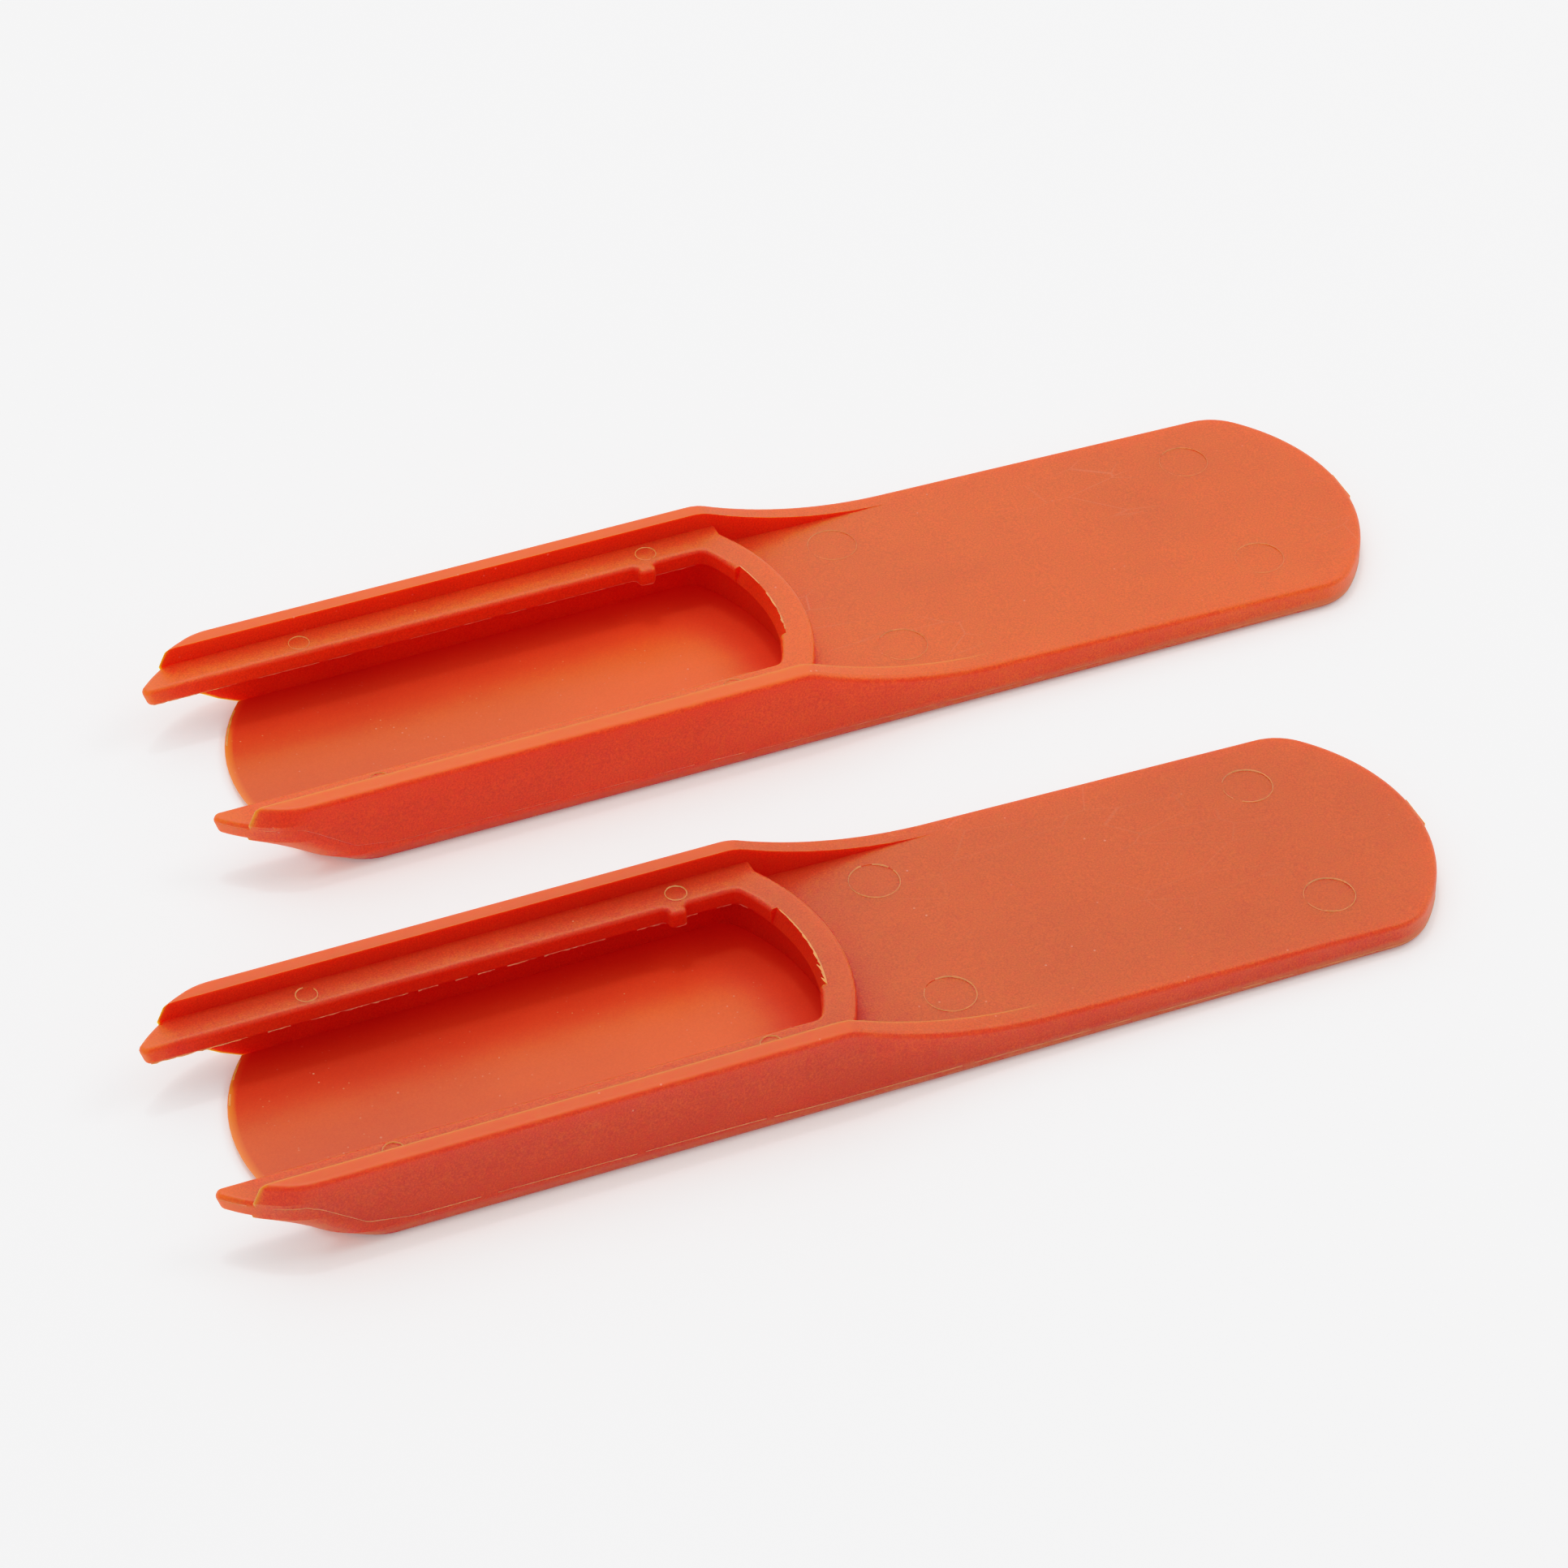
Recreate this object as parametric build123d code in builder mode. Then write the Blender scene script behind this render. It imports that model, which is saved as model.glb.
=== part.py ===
"""A pair of slip-on leaf grabber hands, lying side by side as they come from the mould.

Each hand is one plastic moulding. Its open end is a shallow socket that slides over the flat jaw
of a pick-up tool: two side walls carry inward ledges, a ring joins the ledges at the closed end,
and a small nub on one ledge snaps past the jaw. Beyond the ring the hand runs on as a flat paddle.

Millimetres. +X runs from the open end to the paddle's tip, +Z is up, and both hands rest on z = 0.
A hand's own x = 0 is at the tips of its ledges, and its own y = 0 is on its long centre line.
"""

from build123d import *

import os
from math import sqrt

# Overall size of one hand
length = 153.0
half_width = 18.8
wall_height = 10.8
side_lean = 0.4  # how much narrower each side is at the wall tops than at the base
base_edge_radius = 0.9

# Spacing of the pair
pair_shift = 20.9
pair_pitch = 60.9

# Levels of the socket
floor_top = 0.8
ledge_underside = 6.1
ledge_top = 8.5

# Bow of the open end: height, radius and foremost x of its arc. Like a boat's, it sweeps forward
# from the base to its foremost line at the ledges' top, then leans back to the wall tops.
bow_arcs = (
    (0.0, 25.2, 8.55),
    (2.0, 23.2, 4.0),
    (5.95, 19.45, -4.7),
    (ledge_top, 19.6, -5.5),
    (wall_height, 19.2, -4.8),
)
bow_corner = 8.0
foot_inset = 0.6  # how much narrower each side is at its foot beside the bow than beside the paddle's end

# Socket
wall_inner = 16.2
pocket_half_width = 15.6
pocket_end = 76.8
pocket_end_radius = 26.7
pocket_corner = 3.0
channel_half_width = 12.15
channel_end = 75.0
channel_end_radius = 24.5
channel_corner = 1.5
ledge_tip_radius = 0.8

# Ring that closes the socket
ring_outer = 78.9
ring_radius = 28.8
ring_clip = 14.6  # half width at which the ring's arc gives way to its short straight ends
recess_half_width = 7.2
recess_overrun = 0.5  # how far the leaning cut runs past the ledges' two faces
recess_arcs = (
    # height, radius and outermost x of the arc
    (ledge_underside - recess_overrun, 24.6, 75.05),
    (ledge_top + recess_overrun, 28.4, 75.7),
)

# Snap nub, on the +Y ledge only
nub_x = 64.1
nub_half_length = 1.1
nub_proud = 1.3
nub_front_radius = 0.6
nub_root_radius = 0.65

# Paddle
end_radius = 23.7
end_corner = 7.0
top_at_pins = 5.14
pins_x = (88.4, 136.4)
pins_y = 10.8
paddle_fall = 1.26  # how much thinner the paddle is at the second pair of pin marks
wall_kink = 73.4
kink_radius = 6.0
rail_runout = 98.5

# Marks left by the mould
paddle_pin_radius = 3.0
ledge_pins_x = (20.1, 65.0)
ledge_pins_y = 14.1
ledge_pin_radius = 1.25
pin_mark_depth = 0.05
gate_width = 4.8
gate_proud = 0.2
gate_base = 0.7
gate_height = 2.0

# Edge finish
rim_radius = 0.7
lip_radius = 0.6
tip_underside_radius = 0.5
ring_end_radius = 0.5

clear = 10.0  # how far cutting tools reach past the hand
touch = 0.01  # how close two coordinates are when they are taken as the same
facing_up = 0.5  # least upward share of a top face's normal
near_by = 0.25  # how close an edge's middle is to the wall or arc that it belongs to

paddle_slope = paddle_fall / (pins_x[1] - pins_x[0])


def paddle_top(x):
    """Height of the paddle's top face at x."""
    return top_at_pins - paddle_slope * (x - pins_x[0])


def arc_x(outermost, radius, y):
    """x at height y on an arc that is centred on the centre line and bulges towards +X."""
    return outermost - radius + sqrt(radius**2 - y**2)


def hull_section(base, height, radius, foremost):
    """Plan outline of the hand at one height: bow arc, straight sides and rounded paddle end."""
    width = half_width - side_lean * height / wall_height
    bow_width = width - (foot_inset if height < touch else 0)
    bow_x = foremost + radius - sqrt(radius**2 - bow_width**2)
    tip_x = arc_x(length, end_radius, width)
    with BuildSketch(base.offset(height)) as section:
        with BuildLine():
            ThreePointArc((bow_x, -bow_width), (foremost, 0), (bow_x, bow_width))
            Line((bow_x, bow_width), (tip_x, width))
            ThreePointArc((tip_x, width), (length, 0), (tip_x, -width))
            Line((tip_x, -width), (bow_x, -bow_width))
        make_face()
        fillet(section.vertices().group_by(Axis.X)[0], bow_corner)
        fillet(section.vertices().group_by(Axis.X)[-1], end_corner)
    return section.sketch.face()


def recess_section(base, height, radius, outermost):
    """Plan outline, at one height, of what the set-back face leaves out of the ring."""
    notch_x = arc_x(outermost, radius, recess_half_width)
    back_x = notch_x - clear
    with BuildSketch(base.offset(height)) as section:
        with BuildLine():
            ThreePointArc((notch_x, -recess_half_width), (outermost, 0), (notch_x, recess_half_width))
            Polyline(
                (notch_x, recess_half_width),
                (back_x, recess_half_width),
                (back_x, -recess_half_width),
                (notch_x, -recess_half_width),
            )
        make_face()
    return section.sketch.face()


def slot_face(plane, slot_half, end_arc, corner, has_nub=False):
    """Outline of a slot from beyond the open end to a shallow arc, with or without the nub beside it."""
    outermost = end_arc[0]
    corner_x = arc_x(*end_arc, slot_half)
    with BuildSketch(plane) as outline:
        with BuildLine():
            ThreePointArc((corner_x, -slot_half), (outermost, 0), (corner_x, slot_half))
            Polyline(
                (corner_x, slot_half),
                (-clear, slot_half),
                (-clear, -slot_half),
                (corner_x, -slot_half),
            )
        make_face()
        fillet(outline.vertices().group_by(Axis.X)[-1], corner)
        if has_nub:
            with Locations((nub_x, slot_half)):
                Rectangle(2 * nub_half_length, 2 * nub_proud, mode=Mode.SUBTRACT)
            nub_front = slot_half - nub_proud
            for level, radius in ((nub_front, nub_front_radius), (slot_half, nub_root_radius)):
                corners = [
                    point
                    for point in outline.vertices()
                    if abs(point.Y - level) < touch and abs(point.X - nub_x) < nub_half_length + touch
                ]
                fillet(corners, radius)
    return outline.sketch.face()


def is_ledge_tip(middle):
    """True for the upright edges at the tips of the two ledges, by an edge's middle."""
    on_channel = abs(middle.Y) < channel_half_width + near_by
    return middle.X < ledge_tip_radius and on_channel and middle.Z > ledge_underside


def is_lip(middle):
    """True for the ledges' top edges along the channel and round their tips, and for the ring's."""
    on_channel = abs(middle.Y) < channel_half_width + near_by
    on_bow = middle.X < bow_corner and abs(middle.Y) < wall_inner
    return (on_channel or on_bow) and abs(middle.Z - ledge_top) < touch


def is_tip_underside(middle):
    """True for the lower edges of the ledges' tips."""
    on_bow = middle.X < bow_corner and abs(middle.Y) < pocket_half_width
    return on_bow and abs(middle.Z - ledge_underside) < touch


def is_ring_end(middle):
    """True for the two upright edges where the ring's arc meets its straight ends."""
    beyond_pocket = middle.X > ledge_pins_x[1] and middle.Z > top_at_pins
    return beyond_pocket and abs(abs(middle.Y) - ring_clip) < near_by


def moulded_hand(base):
    """One hand, standing on the plane base."""
    side = Plane(origin=base.origin, x_dir=(1, 0, 0), z_dir=(0, -1, 0))
    paddle_face = Plane(
        origin=base.from_local_coords((0, 0, paddle_top(0))),
        x_dir=(1, 0, -paddle_slope),
        z_dir=(paddle_slope, 0, 1),
    )
    with BuildPart() as hand:
        # Hull
        loft([hull_section(base, *arc) for arc in bow_arcs], ruled=True)
        fillet(hand.faces().sort_by(Axis.Z)[0].edges(), base_edge_radius)

        # Side profile: the walls drop in a long hollow curve to the paddle's sloping top
        with BuildSketch(side) as drop:
            with BuildLine():
                kink = (wall_kink, wall_height)
                run_out = (rail_runout, paddle_top(rail_runout))
                TangentArc(run_out, kink, tangent=(-1, paddle_slope))
                Polyline(
                    kink,
                    (wall_kink - clear, wall_height),
                    (wall_kink - clear, wall_height + clear),
                    (length + clear, wall_height + clear),
                    (length + clear, paddle_top(length + clear)),
                    run_out,
                )
            make_face()
            fillet(drop.vertices().sort_by_distance((wall_kink, wall_height))[0], kink_radius)
        extrude(amount=half_width + clear, both=True, mode=Mode.SUBTRACT)
        tops = hand.faces().filter_by(lambda face: face.normal_at().Z > facing_up)
        fillet(tops.edges().filter_by(Axis.Y, reverse=True), rim_radius)

        # Space above the ledges, between the walls
        with BuildSketch(base.offset(ledge_top)):
            with Locations((rail_runout / 2 - clear, 0)):
                Rectangle(rail_runout + clear, 2 * wall_inner)
        extrude(amount=wall_height, mode=Mode.SUBTRACT)

        # Paddle between the run-out of the walls, in front of the ring
        with BuildSketch(paddle_face):
            with BuildLine():
                clip_x = arc_x(ring_outer, ring_radius, ring_clip)
                ThreePointArc((clip_x, -ring_clip), (ring_outer, 0), (clip_x, ring_clip))
                Polyline(
                    (clip_x, ring_clip),
                    (clip_x, wall_inner),
                    (length + clear, wall_inner),
                    (length + clear, -wall_inner),
                    (clip_x, -wall_inner),
                    (clip_x, -ring_clip),
                )
            make_face()
        extrude(amount=wall_height, mode=Mode.SUBTRACT)

        # Pocket for the jaw, under the ledges and the ring, and the channel between the ledges
        pocket = slot_face(
            base.offset(floor_top), pocket_half_width, (pocket_end, pocket_end_radius), pocket_corner
        )
        extrude(pocket, amount=ledge_underside - floor_top, mode=Mode.SUBTRACT)
        channel = slot_face(
            base.offset(ledge_underside),
            channel_half_width,
            (channel_end, channel_end_radius),
            channel_corner,
            has_nub=True,
        )
        extrude(channel, amount=wall_height, mode=Mode.SUBTRACT)

        # Rounded tips of the ledges, and eased edges along the channel and the ring
        for is_eased, radius in (
            (is_ledge_tip, ledge_tip_radius),
            (is_lip, lip_radius),
            (is_tip_underside, tip_underside_radius),
            (is_ring_end, ring_end_radius),
        ):
            eased = [edge for edge in hand.edges() if is_eased(base.to_local_coords(edge.center()))]
            fillet(eased, radius)

        # Set-back face in the ring's inner edge, leaning back towards its top
        loft([recess_section(base, *arc) for arc in recess_arcs], ruled=True, mode=Mode.SUBTRACT)

        # Gate vestige in the middle of the paddle's end
        with BuildSketch(base.offset(gate_base)):
            with Locations((length + gate_proud - gate_width / 2, 0)):
                Rectangle(gate_width, gate_width)
        extrude(amount=gate_height)

        # Round marks of the ejector pins
        with BuildSketch(paddle_face):
            with Locations([(x, y) for x in pins_x for y in (-pins_y, pins_y)]):
                Circle(paddle_pin_radius)
        extrude(amount=-pin_mark_depth, mode=Mode.SUBTRACT)
        with BuildSketch(base.offset(ledge_top)):
            with Locations([(x, y) for x in ledge_pins_x for y in (-ledge_pins_y, ledge_pins_y)]):
                Circle(ledge_pin_radius)
        extrude(amount=-pin_mark_depth, mode=Mode.SUBTRACT)
    return hand


near_base = Plane(origin=(-(length + pair_shift) / 2, -pair_pitch / 2, 0))
far_base = Plane(origin=(-(length - pair_shift) / 2, pair_pitch / 2, 0))

os.makedirs("parts", exist_ok=True)
for node, base in (("near_hand", near_base), ("far_hand", far_base)):
    hand = moulded_hand(base)
    hand.part.label = node
    export_step(hand.part, f"parts/{node}.step")
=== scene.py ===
"""Looks for a pair of slip-on leaf grabber hands: two waxy orange mouldings on a white table.

Everything is in metres, in the row frame. A hand's own x = 0 is at the tips of its ledges and its
own y = 0 is on its centre line, and its details are given from there, in millimetres.
"""

from math import cos, pi, radians, sin
from typing import NamedTuple

import bmesh
import bpy
from mathutils import Matrix, Vector, noise
from mathutils.bvhtree import BVHTree


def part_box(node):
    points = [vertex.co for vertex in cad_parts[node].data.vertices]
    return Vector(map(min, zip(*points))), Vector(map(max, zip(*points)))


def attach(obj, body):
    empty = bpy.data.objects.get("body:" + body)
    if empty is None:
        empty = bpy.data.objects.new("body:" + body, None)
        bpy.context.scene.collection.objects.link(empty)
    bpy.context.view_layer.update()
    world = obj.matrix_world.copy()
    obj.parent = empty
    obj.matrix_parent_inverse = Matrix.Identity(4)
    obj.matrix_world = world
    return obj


MM = 0.001

# Camera: where it stands, which way it looks, and its lens
CAMERA_PLACE = Vector((-0.23415, -0.55224, 0.49573))
CAMERA_YAW = radians(22.84)
CAMERA_DOWN = radians(39.27)
CAMERA_ROLL = -0.0036
LENS_MM = 151.17
SENSOR_MM = 36.0
CLIP_START = 0.01
CLIP_END = 50

# Picture grade: linear light against what is shown, for red, green and blue
TOES = (
    ((0.1, 0.13), (0.28, 0.345), (0.45, 0.48), (0.6, 0.64), (0.7, 0.738)),
    ((0.021, 0.003), (0.062, 0.022), (0.095, 0.049), (0.137, 0.140), (0.3, 0.3), (0.7, 0.757)),
    ((0.015, 0.006), (0.040, 0.025), (0.064, 0.065), (0.3, 0.3), (0.7, 0.757)),
)
SHOULDER = ((0.8, 0.835), (0.9, 0.887))
WHITE_SHOWN = 0.925

# Table and light
TABLE_SIDE = 6.0
TABLE_GAP = 0.05 * MM
TABLE_COLOUR = (0.86, 0.86, 0.865, 1)
TABLE_MOTTLE = 0.005
TABLE_GLOW = 0.19
TABLE_ROUGHNESS = 0.6
TABLE_SPECULAR = 0.1
SKY_COLOUR = (1.0, 1.0, 1.0, 1)
SKY_STRENGTH = 0.65
SKY_TILT = 0.14
LAMPS = (
    # name, place, aimed at, side in metres, watts
    ("overhead_softbox", (-0.1, 0.55, 1.3), (0, 0, 0), 1.4, 2.9),
    ("right_softbox", (0.75, -0.15, 0.9), (0, 0, 0), 0.45, 1.5),
    ("steep_softbox", (-0.1, 0.26, 1.25), (0, 0, 0), 0.30, 1.0),
    ("steep_spot", (-0.02, 0.26, 1.4), (0, 0, 0), 0.05, 0.9),
)
DIFFUSE_BOUNCES = 12

# Form of a hand, in millimetres from its own zero
PADDLE_END = 153.2
BOW_RADIUS = 24.4
BOW_CENTRE = 31.1
INSIDE_HALF_WIDTH = 16.9
INSIDE_END = 80.0
CHANNEL_HALF_WIDTH = 12.15
RING_END = 77.0
FLOOR_TOP = 0.8
LEDGE_UNDERSIDE = 6.1
LEDGE_TOP = 8.5
NOTCH_HALF_WIDTH = 7.1

# Parting line: its height along the sides, and how it sweeps up at the bow
PARTING_FLAT = 2.0
PARTING_FLAT_FROM = 28.0
PARTING_FALL = 0.0105
PARTING_TOP = 7.9
PARTING_RISE_END = 21.5
PARTING_RISE_RUN = 13.5
PARTING_EASE = 1.6

# Pin marks, on the paddle and on the ledges
PIN_MARKS = (
    # x of the two pairs, distance from the centre line, radius, points in a rim
    ((88.4, 136.4), 10.8, 3.0, 96),
    ((20.1, 65.0), 14.1, 1.25, 48),
)
RIM_OUTSIDE = 0.02  # how much wider a rim is than its mark
RAY_START = 20.0  # how far above the marks the surface is looked for

# Where the mould's lines run: ranges in millimetres, and shares of a face's normal
OUTSIDE_UPRIGHT = 0.93
BOW_SIDES_TO = 8.0
BOW_SIDES_FROM_CENTRE = CHANNEL_HALF_WIDTH + 1
BOW_SIDES_FORWARD = -0.2
RING_FACE_FROM = 60.0
RING_FACE_UPRIGHT = 0.8
RING_LINE = LEDGE_TOP - 0.06
LEDGES_FROM, LEDGES_TO = 1.0, 74.0
LEDGE_REACH = 1.6
LEDGE_UPRIGHT = 0.5
LEDGE_LINE = LEDGE_UNDERSIDE + 0.22
# Painted light: where the pale fin runs along the floor's front edge at the bow
BOW_TO = 24.0
BOW_HALF_WIDTH = 15.5
BOW_FORWARD = -0.1
BOW_UNDERSIDE = -0.9
BOW_LINE = FLOOR_TOP - 0.1
PARTING_STEP, RING_STEP, BOW_STEP, LEDGE_STEP = 0.5, 0.18, 0.5, 0.3  # between a fin's points
FINS = (
    # name, plastic, width, height, raggedness, lean, share that has broken off
    ("parting_fin", "seam", 0.20, 0.05, 0.5, (0, 0, 0), 0.1),
    ("ring_flash", "flash", 0.18, 0.42, 1.6, (0, 0, 1.2), 0.10),
    # a pale fin along the floor's front edge at the bow, put there as painted glow
    ("bow_edge_glow_fin", "flash", 0.30, 0.10, 0.4, (0, 0, 0), 0.05),
    ("ledge_flash", "seam", 0.14, 0.12, 0.8, (0, 0, -0.3), 0.22),
    ("pin_rims", "rims", 0.20, 0.09, 0.5, (0, 0, 0), 0.0),
)
BREAKS_PER_MM = 0.45
WAVES = ((1.1, 0.5), (2.9, 0.6))  # waves per millimetre, and how much each adds to a fin's height
LEAST_HEIGHT = 0.15
LEAST_NOISE = -0.5  # a fin has broken off where the noise is less than its share above this
LEAST_ACROSS = 0.1  # a fin also ends where its line runs along the surface's normal
FEWEST_POINTS = 3
KEY_DIGITS = 4  # decimals of a millimetre in which the ends of two cuts have to agree

# Plastic: where each look fades from one state to the other, in millimetres from the hand's zero
FLOOR_TO_WALL = (1.0, 1.8)
TOWARDS_RING = (25.0, 62.0)
BEFORE_BOW_EDGE = (1.1, 0.1)  # inside the bow's radius
ON_FLOOR = (0.9, 1.0)
NEAR_BOW = (20.0, 22.0)
LEDGE_TIP = (0.0, 4.5)
WALL_TOP = (10.5, 10.75)
BELOW_SEAM = (1.25, 1.75)
AT_TABLE = (0.05, 0.75)
WALL_FRONT = (2.0, 7.0)
ABOVE_LEDGE = (8.5, 8.7)
EASING = 0.5  # before the inside's half width and end
UPRIGHT = (0.6, 0.9)  # upward share of the normal

# Plastic: how strongly each look shows
THICK_GRAIN = 0.15
THIN_GRAIN = 0.04
# Painted light on the thin pocket floor: less at the bow, more towards the ring
FLOOR_PAINTED_LIGHT_AT_BOW, FLOOR_PAINTED_LIGHT_AT_RING = 0.95, 1.12
# Painted glow on the floor's front edge and the ledges' tips, and painted light on the walls' tops
PAINTED_EDGE_GLOW_SHARE = 0.65
PAINTED_TIP_GLOW_SHARE = 0.55
WALL_TOP_PAINTED_LIGHT_GAIN = 1.12
CLOUD_REACH = 0.03
DUST_SHARE = 0.55
POWDER_SHARE = 0.4
# Painted shading: the strip below the seam, and painted contact shade at the foot
BELOW_SEAM_PAINTED_SHADING_SHARE = 0.6
FOOT_PAINTED_SHADE_SHARE = 0.75

# Patterns, whose scales are per metre, and the parts of their values that are used
MOTTLE = {"scale": 3, "detail": 3}
GRAIN = {"scale": 4500, "detail": 2, "roughness": 0.75}
CLOUDS = {"scale": 45, "detail": 3, "roughness": 0.6}
FLOW = {"scale": 9, "detail": 4, "roughness": 0.65, "stretch": (1, 7, 7)}
SCRATCHES = {"scale": 70, "feature": "DISTANCE_TO_EDGE", "stretch": (1, 2.6, 1)}
RUBS = {"scale": 38, "detail": 1}
FIN_CLOUDS = {"scale": 700, "detail": 3, "roughness": 0.7}
MIDDLING = (0.3, 0.7)
CLOUDY = (0.35, 0.65)
HAIRLINE = (0.004, 0.010)
RUBBED = (0.55, 0.68)

# Relief: its pattern, strength and depth
SATIN_RELIEF = {"scale": 2600, "detail": 3, "roughness": 0.6}, 0.18, 0.03 * MM
WAVY_RELIEF = {"scale": 120, "detail": 2}, 0.25, 0.12 * MM
FIN_RELIEF = {"scale": 3000, "detail": 2}, 0.3, 0.02 * MM
DUST_RELIEF = 0.6, 0.05 * MM

# Plastic: surface and depth
SATIN = (0.43, 0.50)
SPECULAR = 0.50
LIGHT_REACH = (1.0, 0.22, 0.06)  # of red, green and blue, in the scale below
LIGHT_REACH_SCALE = 5 * MM
WAXY_FLOOR, WAXY_WALL = 0.15, 1.0
FRONT_OPAQUE = 0.6
FIN_SATIN = (0.35, 0.5)
FIN_SHADES = (0.8, 1.15)
FIN_WAXY = 0.4
FIN_LIGHT_REACH = (1.0, 0.4, 0.1)
FIN_LIGHT_REACH_SCALE = 1 * MM

# Painted glow colours for the floor's front edge and the ledges' tips
PAINTED_EDGE_GLOW_COLOUR = (0.98, 0.30, 0.05, 1)
PAINTED_TIP_GLOW_COLOUR = (0.80, 0.20, 0.02, 1)
# Painted contact shade at the foot
FOOT_PAINTED_SHADE_COLOUR = (0.20, 0.03, 0.01, 1)
DUST_COLOUR = (0.86, 0.50, 0.33, 1)
SCUFF_COLOUR = (0.80, 0.32, 0.17, 1)
# Painted shading below the seam
BELOW_SEAM_PAINTED_SHADING_COLOUR = (0.62, 0.17, 0.05, 1)
FLASH_COLOUR = (0.98, 0.42, 0.12, 1)
SEAM_COLOUR = (0.86, 0.32, 0.13, 1)


class Specks(NamedTuple):
    """Round specks in some of the cells of a pattern, gathered in patches."""

    scale: float  # cells per metre
    edge: tuple  # where a speck ends, from its cell's centre
    chosen: tuple  # which cells have one
    patches: dict
    gathered: tuple  # which parts of the patches are filled


DUST = Specks(620, (0.05, 0.10), (0.70, 0.72), {"scale": 60, "detail": 2}, (0.42, 0.6))
POWDER = Specks(1500, (0.08, 0.20), (0.66, 0.70), {"scale": 110, "detail": 3}, (0.45, 0.62))


class Look(NamedTuple):
    """What differs between the two hands."""

    body: str
    polymer: tuple
    # the thin floor's colour, painted brighter for the light that comes through it
    floor_polymer_with_painted_light: tuple
    rim_colour: tuple
    scuffs: float
    seed: float
    strength: float  # how far the mould's marks stand proud


HANDS = (
    Look(
        body="near_hand",
        polymer=(0.65, 0.112, 0.0155, 1),
        floor_polymer_with_painted_light=(0.775, 0.117, 0.0205, 1),
        rim_colour=(0.97, 0.40, 0.155, 1),
        scuffs=0.10,
        seed=3.0,
        strength=1.0,
    ),
    Look(
        body="far_hand",
        # The far hand's colours are set brighter than the near hand's, to stand in for the light
        # it gets: painted light.
        polymer=(0.735, 0.130, 0.0168, 1),
        floor_polymer_with_painted_light=(0.80, 0.126, 0.0235, 1),
        rim_colour=(0.95, 0.33, 0.11, 1),
        scuffs=0.30,
        seed=11.0,
        strength=0.5,
    ),
)


# ---------------------------------------------------------------- camera, light and table


def add_object(name, data):
    item = bpy.data.objects.new(name, data)
    bpy.context.scene.collection.objects.link(item)
    return item


def make_camera():
    data = bpy.data.cameras.new("photo_camera")
    data.lens = LENS_MM
    data.sensor_width = SENSOR_MM
    data.clip_start = CLIP_START
    data.clip_end = CLIP_END
    camera = add_object("photo_camera", data)
    level = Vector((cos(CAMERA_YAW), -sin(CAMERA_YAW), 0))
    across, down = cos(CAMERA_DOWN), sin(CAMERA_DOWN)
    ahead = Vector((sin(CAMERA_YAW) * across, cos(CAMERA_YAW) * across, -down))
    upright = level.cross(ahead)
    right = level * cos(CAMERA_ROLL) + upright * sin(CAMERA_ROLL)
    up = upright * cos(CAMERA_ROLL) - level * sin(CAMERA_ROLL)
    turn = Matrix((right, up, -ahead)).transposed()
    camera.matrix_world = Matrix.Translation(CAMERA_PLACE) @ turn.to_4x4()
    bpy.context.scene.camera = camera


def grade_picture():
    """A plain sRGB picture with a soft white end, whose orange turns red in the shade."""
    view = bpy.context.scene.view_settings
    view.view_transform = "Standard"
    view.use_curve_mapping = True
    for channel, toe in enumerate(TOES):
        curve = view.curve_mapping.curves[channel]
        curve.points[-1].location = (1, WHITE_SHOWN)
        for light, shown in toe + SHOULDER:
            curve.points.new(light, shown)
    view.curve_mapping.update()


def make_world():
    """A white studio that is brighter behind the hands than in front of them."""
    world = bpy.data.worlds.new("studio")
    bpy.context.scene.world = world
    world.use_nodes = True
    nodes, links = world.node_tree.nodes, world.node_tree.links
    sky = nodes["Background"]
    sky.inputs["Color"].default_value = SKY_COLOUR
    direction = nodes.new("ShaderNodeSeparateXYZ")
    links.new(nodes.new("ShaderNodeTexCoord").outputs["Generated"], direction.inputs[0])
    backwards = nodes.new("ShaderNodeMath")
    backwards.operation = "MULTIPLY_ADD"
    links.new(direction.outputs["Y"], backwards.inputs[0])
    backwards.inputs[1].default_value = SKY_STRENGTH * SKY_TILT
    backwards.inputs[2].default_value = SKY_STRENGTH
    links.new(backwards.outputs[0], sky.inputs["Strength"])


def make_lamps():
    for name, place, target, side, watts in LAMPS:
        data = bpy.data.lights.new(name, "AREA")
        data.shape = "SQUARE"
        data.size = side
        data.energy = watts
        lamp = add_object(name, data)
        lamp.location = place
        lamp.rotation_mode = "QUATERNION"
        lamp.rotation_quaternion = (Vector(target) - Vector(place)).to_track_quat("-Z", "Y")


def make_table():
    half, drop = TABLE_SIDE / 2, -TABLE_GAP
    mesh = bpy.data.meshes.new("table_top")
    corners = [(-half, -half, drop), (half, -half, drop), (half, half, drop), (-half, half, drop)]
    mesh.from_pydata(corners, [], [(0, 1, 2, 3)])
    table = add_object("table_top", mesh)
    material, tree = new_material("white_table")
    mottle = tree.ramp(tree.noise(**MOTTLE), *MIDDLING)
    darker, lighter = shade(TABLE_COLOUR, 1 - TABLE_MOTTLE), shade(TABLE_COLOUR, 1 + TABLE_MOTTLE)
    tree.drive("Base Color", tree.mix(mottle, darker, lighter))
    tree.drive("Roughness", TABLE_ROUGHNESS)
    tree.drive("Specular IOR Level", TABLE_SPECULAR)
    tree.drive("Emission Color", TABLE_COLOUR)
    tree.drive("Emission Strength", TABLE_GLOW)
    mesh.materials.append(material)


# ---------------------------------------------------------------- materials


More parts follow.
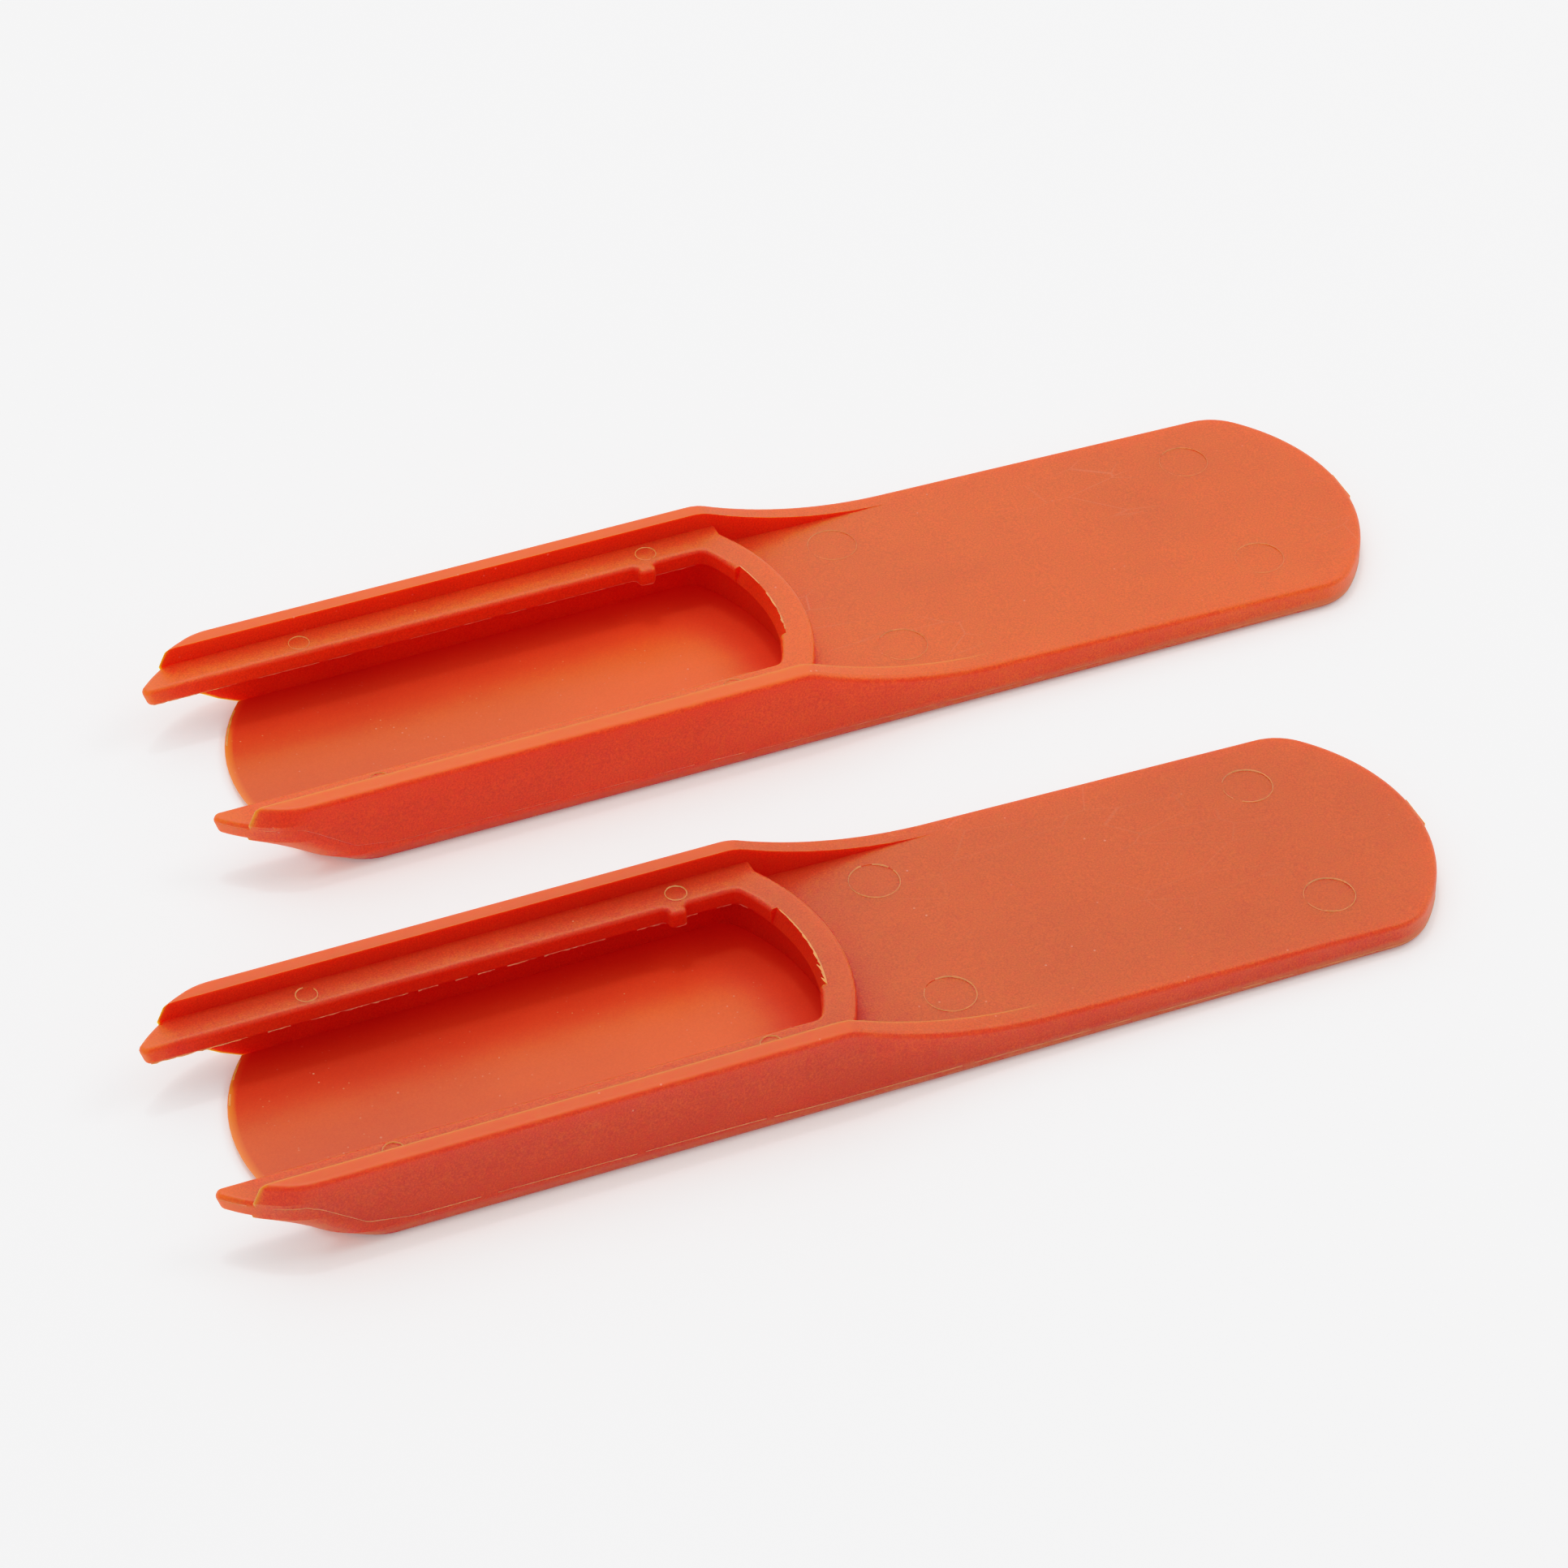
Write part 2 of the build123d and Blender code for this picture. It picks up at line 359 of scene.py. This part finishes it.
class Tree:
    """A material's node tree, with short calls for its nodes."""

    def __init__(self, tree):
        self.nodes, self.links = tree.nodes, tree.links
        self.shader = tree.nodes["Principled BSDF"]

    def put(self, value, socket):
        """Link a node's output, or set a plain number or colour on the socket itself."""
        if isinstance(value, bpy.types.NodeSocket):
            self.links.new(value, socket)
        elif value is not None:
            socket.default_value = value

    def drive(self, name, value):
        self.put(value, self.shader.inputs[name])

    def place(self, stretch=(1, 1, 1)):
        """Object coordinates, which move with the piece, stretched on each axis."""
        where = self.nodes.new("ShaderNodeTexCoord").outputs["Object"]
        mapping = self.nodes.new("ShaderNodeMapping")
        mapping.inputs["Scale"].default_value = stretch
        self.links.new(where, mapping.inputs["Vector"])
        return mapping.outputs["Vector"]

    def split(self, vector):
        node = self.nodes.new("ShaderNodeSeparateXYZ")
        self.links.new(vector, node.inputs[0])
        return node.outputs

    def noise(self, scale, detail=2.0, roughness=0.5, stretch=(1, 1, 1)):
        node = self.nodes.new("ShaderNodeTexNoise")
        node.inputs["Scale"].default_value = scale
        node.inputs["Detail"].default_value = detail
        node.inputs["Roughness"].default_value = roughness
        self.links.new(self.place(stretch), node.inputs["Vector"])
        return node.outputs["Fac"]

    def cells(self, scale, feature="F1", stretch=(1, 1, 1)):
        node = self.nodes.new("ShaderNodeTexVoronoi")
        node.feature = feature
        node.inputs["Scale"].default_value = scale
        self.links.new(self.place(stretch), node.inputs["Vector"])
        return node.outputs

    def ramp(self, value, start, end, low=0.0, high=1.0):
        node = self.nodes.new("ShaderNodeMapRange")
        self.put(value, node.inputs["Value"])
        ends = (("From Min", start), ("From Max", end), ("To Min", low), ("To Max", high))
        for name, number in ends:
            node.inputs[name].default_value = number
        return node.outputs["Result"]

    def math(self, operation, first, second=None):
        node = self.nodes.new("ShaderNodeMath")
        node.operation = operation
        self.put(first, node.inputs[0])
        self.put(second, node.inputs[1])
        return node.outputs[0]

    def product(self, first, *others):
        for other in others:
            first = self.math("MULTIPLY", first, other)
        return first

    def opposite(self, share):
        return self.math("SUBTRACT", 1.0, share)

    def mix(self, share, first, second):
        node = self.nodes.new("ShaderNodeMix")
        node.data_type = "RGBA"
        self.put(share, node.inputs["Factor"])
        self.put(first, node.inputs["A"])
        self.put(second, node.inputs["B"])
        return node.outputs["Result"]

    def tinted(self, colour, factor):
        """colour times factor."""
        node = self.nodes.new("ShaderNodeVectorMath")
        node.operation = "SCALE"
        self.links.new(colour, node.inputs[0])
        node.inputs["Scale"].default_value = factor
        return node.outputs[0]

    def bump(self, height, strength, distance, under=None):
        node = self.nodes.new("ShaderNodeBump")
        node.inputs["Strength"].default_value = strength
        node.inputs["Distance"].default_value = distance
        self.put(height, node.inputs["Height"])
        if under is not None:
            self.links.new(under, node.inputs["Normal"])
        return node.outputs["Normal"]


class HandTree(Tree):
    """A node tree that knows where on its hand a point lies."""

    def __init__(self, tree, zero):
        super().__init__(tree)
        self.zero = zero
        self.own = self.split(self.place())
        normal = self.nodes.new("ShaderNodeTexCoord").outputs["Normal"]
        upward = self.math("ABSOLUTE", self.split(normal)["Z"])
        self.upright = self.ramp(upward, *UPRIGHT, 1, 0)
        self.above_floor = self.math("MAXIMUM", self.fade("Z", FLOOR_TO_WALL), self.upright)
        self.on_paddle = self.fade("X", (INSIDE_END - EASING, INSIDE_END))

    def fade(self, axis, ends, low=0.0, high=1.0):
        """low before the first end and high after the second, along one of the hand's own axes."""
        origin = self.zero["XYZ".index(axis)]
        start, end = (origin + along * MM for along in ends)
        return self.ramp(self.own[axis], start, end, low, high)

    def distance_to(self, place):
        node = self.nodes.new("ShaderNodeVectorMath")
        node.operation = "DISTANCE"
        self.links.new(self.place(), node.inputs[0])
        node.inputs[1].default_value = place
        return node.outputs["Value"]


def new_material(name, zero=None):
    material = bpy.data.materials.new(name)
    material.use_nodes = True
    nodes = material.node_tree
    return material, Tree(nodes) if zero is None else HandTree(nodes, zero)


def shade(colour, factor):
    return tuple(channel * factor for channel in colour[:3]) + (1,)


def sprinkled(tree, specks):
    """How much of a point is covered by specks."""
    cells = tree.cells(specks.scale)
    near_centre = tree.ramp(cells["Distance"], *specks.edge, 1, 0)
    chosen = tree.ramp(cells["Color"], *specks.chosen)
    gathered = tree.ramp(tree.noise(**specks.patches), *specks.gathered)
    return tree.product(near_centre, chosen, gathered)


def relief(tree, pattern, strength, depth, under=None):
    return tree.bump(tree.noise(**pattern), strength, depth, under)


def polymer_colour(tree, look):
    """Fine grain, and painted light on the thin pocket floor: its colour is painted brighter for
    the table's light coming through it, and brighter still towards the ring.
    """
    grain = tree.ramp(tree.noise(**GRAIN), *MIDDLING)
    dark, pale = (shade(look.polymer, 1 + change) for change in (-THICK_GRAIN, THICK_GRAIN))
    thick_part = tree.mix(grain, dark, pale)
    at_bow, at_ring = (shade(look.floor_polymer_with_painted_light, gain) for gain in (FLOOR_PAINTED_LIGHT_AT_BOW, FLOOR_PAINTED_LIGHT_AT_RING))
    floor = tree.mix(tree.fade("X", TOWARDS_RING), at_bow, at_ring)
    dark, pale = (tree.tinted(floor, 1 + change) for change in (-THIN_GRAIN, THIN_GRAIN))
    return tree.mix(tree.above_floor, tree.mix(grain, dark, pale), thick_part)


def painted_edge_light(tree, look, colour):
    """Painted light on thin edges that light gets through: a golden glow painted on the floor's
    front edge, an orange glow painted on the ledges' tips, and the walls' narrow tops painted
    brighter."""
    bow_centre = tree.zero + Vector((BOW_CENTRE, 0, FLOOR_TOP)) * MM
    edge_from, edge_to = ((BOW_RADIUS - before) * MM for before in BEFORE_BOW_EDGE)
    floor_edge_glow = tree.ramp(tree.distance_to(bow_centre), edge_from, edge_to, 0, PAINTED_EDGE_GLOW_SHARE)
    low_down = tree.fade("Z", ON_FLOOR, 1, 0)
    near_bow = tree.fade("X", NEAR_BOW, 1, 0)
    colour = tree.mix(tree.product(floor_edge_glow, low_down, near_bow), colour, PAINTED_EDGE_GLOW_COLOUR)
    colour = tree.mix(tree.fade("X", LEDGE_TIP, PAINTED_TIP_GLOW_SHARE, 0), colour, PAINTED_TIP_GLOW_COLOUR)
    return tree.mix(tree.fade("Z", WALL_TOP), colour, shade(look.polymer, WALL_TOP_PAINTED_LIGHT_GAIN))


def scuffed(tree, look, colour):
    """Faint fine lines where the paddle's face has been rubbed."""
    level_paddle = tree.math("MULTIPLY", tree.on_paddle, tree.opposite(tree.upright))
    lines = tree.cells(**SCRATCHES)
    hairline = tree.ramp(lines["Distance"], *HAIRLINE, 1, 0)
    rubbed = tree.ramp(tree.noise(**RUBS), *RUBBED)
    scuff = tree.product(rubbed, level_paddle, look.scuffs, hairline)
    return tree.mix(scuff, colour, SCUFF_COLOUR)


def painted_base_shading(tree, colour):
    """Painted shading at the base: below the seam, where the draft turns back, the side is painted
    paler and duller, as it lacks the glow that comes through the wall above; next to the table the
    foot is painted dark as contact shade.
    """
    sideways = tree.math("ABSOLUTE", tree.math("SUBTRACT", tree.own["Y"], tree.zero.y))
    beside_from, beside_to = (INSIDE_HALF_WIDTH - EASING) * MM, INSIDE_HALF_WIDTH * MM
    beside = tree.ramp(sideways, beside_from, beside_to)
    outer = tree.math("MULTIPLY", tree.upright, tree.math("MAXIMUM", beside, tree.on_paddle))
    below_seam_painted_shading = tree.fade("Z", BELOW_SEAM, BELOW_SEAM_PAINTED_SHADING_SHARE, 0)
    colour = tree.mix(tree.math("MULTIPLY", outer, below_seam_painted_shading), colour, BELOW_SEAM_PAINTED_SHADING_COLOUR)
    return tree.mix(tree.fade("Z", AT_TABLE, FOOT_PAINTED_SHADE_SHARE, 0), colour, FOOT_PAINTED_SHADE_COLOUR)


def moulded_plastic(look, zero):
    """Waxy orange polymer. Red light goes some millimetres into it, green and blue hardly any."""
    material, tree = new_material(f"orange_plastic_{look.body}", zero)
    # Painted light on the thin floor and on the thin edges
    colour = painted_edge_light(tree, look, polymer_colour(tree, look))

    # Clouds and flow streaks
    clouds, flow = tree.noise(**CLOUDS), tree.noise(**FLOW)
    for pattern in (clouds, flow):
        paler = tree.ramp(pattern, *CLOUDY)
        dark, pale = (tree.tinted(colour, 1 + change) for change in (-CLOUD_REACH, CLOUD_REACH))
        colour = tree.mix(paler, dark, pale)

    # Dust: pale specks, and a finer powder that has gathered on the pocket's floor
    dust = sprinkled(tree, DUST)
    colour = tree.mix(tree.math("MULTIPLY", dust, DUST_SHARE), colour, DUST_COLOUR)
    on_floor = tree.product(sprinkled(tree, POWDER), tree.opposite(tree.above_floor))
    colour = tree.mix(tree.math("MULTIPLY", on_floor, POWDER_SHARE), colour, DUST_COLOUR)
    # Painted shading at the base
    tree.drive("Base Color", painted_base_shading(tree, scuffed(tree, look, colour)))

    # Finish: satin, a little glossier along the flow streaks
    tree.drive("Roughness", tree.ramp(flow, *MIDDLING, *SATIN))
    tree.drive("Specular IOR Level", SPECULAR)
    satin = relief(tree, *SATIN_RELIEF)
    wavy = relief(tree, *WAVY_RELIEF, under=satin)
    tree.drive("Normal", tree.bump(dust, *DUST_RELIEF, under=wavy))

    # Depth: little in the thin floor, and less at the walls' sharp front edges
    near_front = tree.fade("X", WALL_FRONT, FRONT_OPAQUE, 0)
    opaque = tree.math("MULTIPLY", near_front, tree.fade("Z", ABOVE_LEDGE))
    depth = tree.ramp(tree.above_floor, 0, 1, WAXY_FLOOR, WAXY_WALL)
    waxy = tree.math("SUBTRACT", depth, opaque)
    tree.drive("Subsurface Weight", tree.math("MAXIMUM", waxy, 0.0))
    tree.drive("Subsurface Radius", LIGHT_REACH)
    tree.drive("Subsurface Scale", LIGHT_REACH_SCALE)
    return material


def fin_plastic(name, colour):
    """The same polymer in a paper-thin fin: pale, because light goes right through it."""
    material, tree = new_material(name)
    pale = tree.ramp(tree.noise(**FIN_CLOUDS), *CLOUDY)
    tree.drive("Base Color", tree.mix(pale, *(shade(colour, factor) for factor in FIN_SHADES)))
    tree.drive("Roughness", tree.ramp(pale, 0, 1, *FIN_SATIN))
    tree.drive("Normal", relief(tree, *FIN_RELIEF))
    tree.drive("Subsurface Weight", FIN_WAXY)
    tree.drive("Subsurface Radius", FIN_LIGHT_REACH)
    tree.drive("Subsurface Scale", FIN_LIGHT_REACH_SCALE)
    return material


# ---------------------------------------------------------------- lines over a hand's surface


def level_runs(mesh, field, wanted):
    """Lines where field is zero over the mesh's wanted faces: lists of (place, outward) pairs."""
    beside, outward = {}, {}
    for face in mesh.polygons:
        if not wanted(face):
            continue
        corners = [mesh.vertices[index].co for index in face.vertices]
        cuts = []
        for first, second in zip(corners, corners[1:] + corners[:1]):
            start, end = sorted((first, second), key=tuple)
            before, after = field(start), field(end)
            if (before > 0) != (after > 0):
                place = start.lerp(end, before / (before - after))
                key = tuple(round(part / MM, KEY_DIGITS) for part in place)
                outward.setdefault(key, [place, Vector()])[1] += face.normal
                cuts.append(key)
        if len(cuts) == 2 and cuts[0] != cuts[1]:
            beside.setdefault(cuts[0], []).append(cuts[1])
            beside.setdefault(cuts[1], []).append(cuts[0])
    runs, done = [], set()
    for start in sorted(beside, key=lambda key: (len(set(beside[key])) != 1, key)):
        if start in done:
            continue
        run = [start]
        done.add(start)
        while True:
            onward = [key for key in beside[run[-1]] if key not in done]
            if not onward:
                break
            run.append(onward[0])
            done.add(onward[0])
        if len(run) > 1:
            if run[0] in beside[run[-1]] and len(run) > 2:
                run.append(run[0])
            runs.append([(outward[key][0], outward[key][1].normalized()) for key in run])
    return runs


def evenly(run, step):
    """The same line with its points about step apart."""
    lengths = [(b[0] - a[0]).length for a, b in zip(run, run[1:])]
    total = sum(lengths)
    count = max(2, round(total / step))
    points, walked, index = [], 0.0, 0
    for number in range(count + 1):
        target = total * number / count
        while index < len(lengths) - 1 and walked + lengths[index] < target:
            walked += lengths[index]
            index += 1
        share = min(1, (target - walked) / lengths[index]) if lengths[index] else 0
        place = run[index][0].lerp(run[index + 1][0], share)
        points.append((place, run[index][1].lerp(run[index + 1][1], share).normalized()))
    return points


def fin_stretches(run, width, height, raggedness, seed, lean, gaps):
    """The unbroken stretches of a fin along one line: lists of (root, crest, root) triples."""
    stretches = [[]]
    for index, (place, outward) in enumerate(run):
        before, after = run[max(index - 1, 0)][0], run[min(index + 1, len(run) - 1)][0]
        across = (after - before).normalized().cross(outward)
        where = place / MM + Vector((seed, 0, 0))
        breaks = noise.noise(where * BREAKS_PER_MM + Vector((0, seed, 0)))
        if breaks < gaps + LEAST_NOISE or across.length < LEAST_ACROSS:
            stretches.append([])
            continue
        wild = sum(reach * noise.noise(where * waves) for waves, reach in WAVES)
        tall = height * max(LEAST_HEIGHT, 1 + 2 * raggedness * wild)
        side = across.normalized() * width / 2
        root = place - outward * width / 2
        crest = place + (outward + Vector(lean)).normalized() * tall
        stretches[-1].append((root + side, crest, root - side))
    return [stretch for stretch in stretches if len(stretch) >= FEWEST_POINTS]


def ridge(name, runs, width, height, raggedness, seed, lean, gaps):
    """Thin closed fins along the lines, which vary in height and have broken off in places."""
    shape = bmesh.new()
    for run in runs:
        for stretch in fin_stretches(run, width, height, raggedness, seed, lean, gaps):
            rings = [[shape.verts.new(corner) for corner in ring] for ring in stretch]
            shape.faces.new(rings[0])
            shape.faces.new(reversed(rings[-1]))
            for here, there in zip(rings, rings[1:]):
                for corner in range(3):
                    following = (corner + 1) % 3
                    sides = (here[following], here[corner], there[corner], there[following])
                    shape.faces.new(sides)
    bmesh.ops.recalc_face_normals(shape, faces=shape.faces)
    mesh = bpy.data.meshes.new(name)
    shape.to_mesh(mesh)
    shape.free()
    return add_object(name, mesh)


def circle_on(tree, centre, radius, count):
    """A closed line round a mark, laid on the surface below it."""
    run = []
    for number in range(count + 1):
        turn = 2 * pi * number / count
        above = centre + Vector((radius * cos(turn), radius * sin(turn), RAY_START * MM))
        place, outward, _, _ = tree.ray_cast(above, Vector((0, 0, -1)))
        run.append((place, outward))
    return run


# ---------------------------------------------------------------- the pieces of one hand


def parting_height(x):
    """Height of the mould's parting line at the hand's own x."""
    flat = PARTING_FLAT - PARTING_FALL * max(x - PARTING_FLAT_FROM, 0)
    rise = min(max((PARTING_RISE_END - x) / PARTING_RISE_RUN, 0), 1) ** PARTING_EASE
    return flat + (PARTING_TOP - flat) * rise * rise * (3 - 2 * rise)


def hand_zero(body):
    """Where a hand's own x and y are zero, at the table."""
    low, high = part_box(body)
    return Vector((high.x - PADDLE_END * MM, (low.y + high.y) / 2, 0))


def mould_lines(mesh, zero):
    """The lines over one hand along which the mould has left fins and rims, and the floor's front
    edge at the bow, where a pale fin stands in for glow as painted light, by the fin's name.
    """

    def own(place):
        return (place - zero) / MM

    def is_outside(face):
        middle = own(face.center)
        beside_socket = abs(middle.y) > INSIDE_HALF_WIDTH or middle.x > INSIDE_END
        at_bow = middle.x < BOW_SIDES_TO and abs(middle.y) > BOW_SIDES_FROM_CENTRE
        on_bow = at_bow and face.normal.x < BOW_SIDES_FORWARD
        return (beside_socket or on_bow) and abs(face.normal.z) < OUTSIDE_UPRIGHT

    def over_parting(place):
        here = own(place)
        return here.z - parting_height(here.x)

    def is_ring_face(face):
        middle = own(face.center)
        in_recess = RING_FACE_FROM < middle.x < RING_END and abs(middle.y) < NOTCH_HALF_WIDTH
        return in_recess and abs(face.normal.z) < RING_FACE_UPRIGHT

    def is_ledge_face(face):
        middle = own(face.center)
        from_channel = abs(abs(middle.y) - CHANNEL_HALF_WIDTH)
        on_ledge = LEDGES_FROM < middle.x < LEDGES_TO and from_channel < LEDGE_REACH
        return on_ledge and face.normal.z < LEDGE_UPRIGHT

    def is_bow_face(face):
        middle = own(face.center)
        at_bow = middle.x < BOW_TO and abs(middle.y) < BOW_HALF_WIDTH and middle.z < FLOOR_TOP
        return at_bow and face.normal.z > BOW_UNDERSIDE and face.normal.x < BOW_FORWARD

    def above(height):
        return lambda place: own(place).z - height

    def lines(field, wanted, step):
        return [evenly(run, step * MM) for run in level_runs(mesh, field, wanted)]

    surface = BVHTree.FromPolygons(
        [vertex.co for vertex in mesh.vertices], [tuple(face.vertices) for face in mesh.polygons]
    )
    return {
        "parting_fin": lines(over_parting, is_outside, PARTING_STEP),
        "ring_flash": lines(above(RING_LINE), is_ring_face, RING_STEP),
        "bow_edge_glow_fin": lines(above(BOW_LINE), is_bow_face, BOW_STEP),
        "ledge_flash": lines(above(LEDGE_LINE), is_ledge_face, LEDGE_STEP),
        "pin_rims": [
            circle_on(
                surface, zero + Vector((x, y, LEDGE_TOP)) * MM, (radius + RIM_OUTSIDE) * MM, count
            )
            for xs, half, radius, count in PIN_MARKS
            for x in xs
            for y in (-half, half)
        ],
    }


def dress_hand(look, zero, plastics):
    """Fins and rims that the mould has left on one hand, and a pale fin along the bow's floor edge
    as painted glow.
    """
    body = look.body
    lines = mould_lines(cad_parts[body].data, zero)
    for name, plastic, width, height, raggedness, lean, gaps in FINS:
        tall = height * look.strength * MM
        piece = ridge(
            f"{body}_{name}", lines[name], width * MM, tall, raggedness, look.seed, lean, gaps
        )
        piece.data.materials.append(plastics[plastic])
        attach(piece, body)


# ---------------------------------------------------------------- the scene


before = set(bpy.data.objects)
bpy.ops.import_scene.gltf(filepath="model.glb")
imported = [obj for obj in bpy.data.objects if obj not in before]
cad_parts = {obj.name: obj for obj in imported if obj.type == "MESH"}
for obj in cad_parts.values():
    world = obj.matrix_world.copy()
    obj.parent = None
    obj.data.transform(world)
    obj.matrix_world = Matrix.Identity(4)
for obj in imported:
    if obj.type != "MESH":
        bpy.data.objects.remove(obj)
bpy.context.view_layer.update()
make_camera()
grade_picture()
make_world()
make_lamps()
make_table()
bpy.context.scene.cycles.diffuse_bounces = DIFFUSE_BOUNCES

flash = fin_plastic("pale_flash", FLASH_COLOUR)
seam = fin_plastic("seam_flash", SEAM_COLOUR)
for look in HANDS:
    zero = hand_zero(look.body)
    plastic = moulded_plastic(look, zero)
    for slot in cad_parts[look.body].material_slots:
        slot.material = plastic
    rims = fin_plastic(f"pin_rim_{look.body}", look.rim_colour)
    dress_hand(look, zero, {"flash": flash, "seam": seam, "rims": rims})
